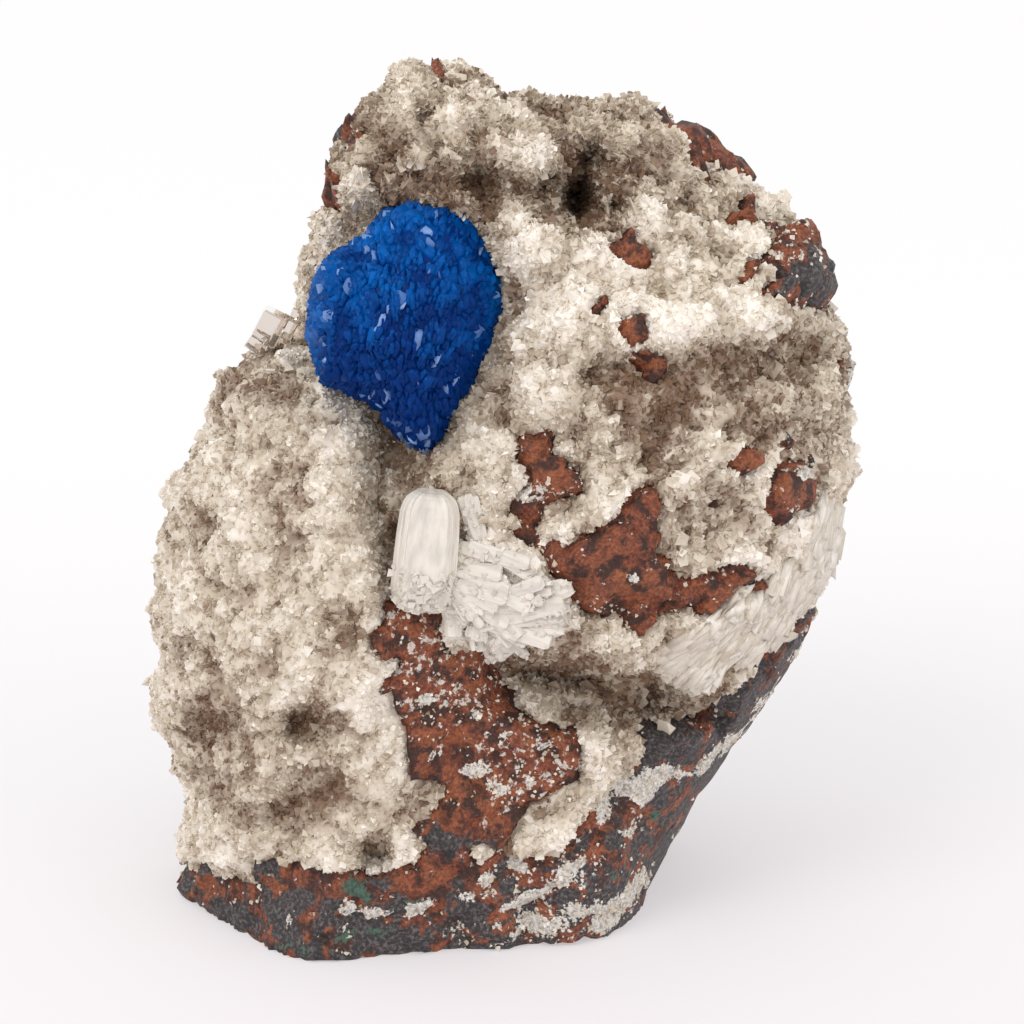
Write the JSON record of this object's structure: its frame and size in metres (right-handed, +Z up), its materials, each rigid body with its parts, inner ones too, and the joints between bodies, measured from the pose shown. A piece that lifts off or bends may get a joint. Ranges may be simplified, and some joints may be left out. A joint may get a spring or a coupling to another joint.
{
  "type": "cavansite mineral specimen",
  "caption": "Broken lump of red-brown basalt with a grey-white sugary crystal crust, a round blue cavansite ball in its cleft, and a flat base it stands on.",
  "frame": {"origin": "middle of the footprint box, on the surface that the flat base rests on", "axes": "+Z up, the display face looks along -Y, +X to the viewer's right"},
  "size_m": [0.0554, 0.0404, 0.0669],
  "materials": {
    "basalt": "rough",
    "druse": "glittering",
    "cavansite": "glossy",
    "stilbite": "pearly",
    "apophyllite": "clear"
  },
  "bodies": {
    "root": {"basalt_matrix": "basalt", "druse_crust": "druse", "cavansite_ball": "cavansite", "stilbite_column": "stilbite", "stilbite_sheaf": "stilbite", "apophyllite_crystals": "apophyllite"}
  },
  "joints": []
}
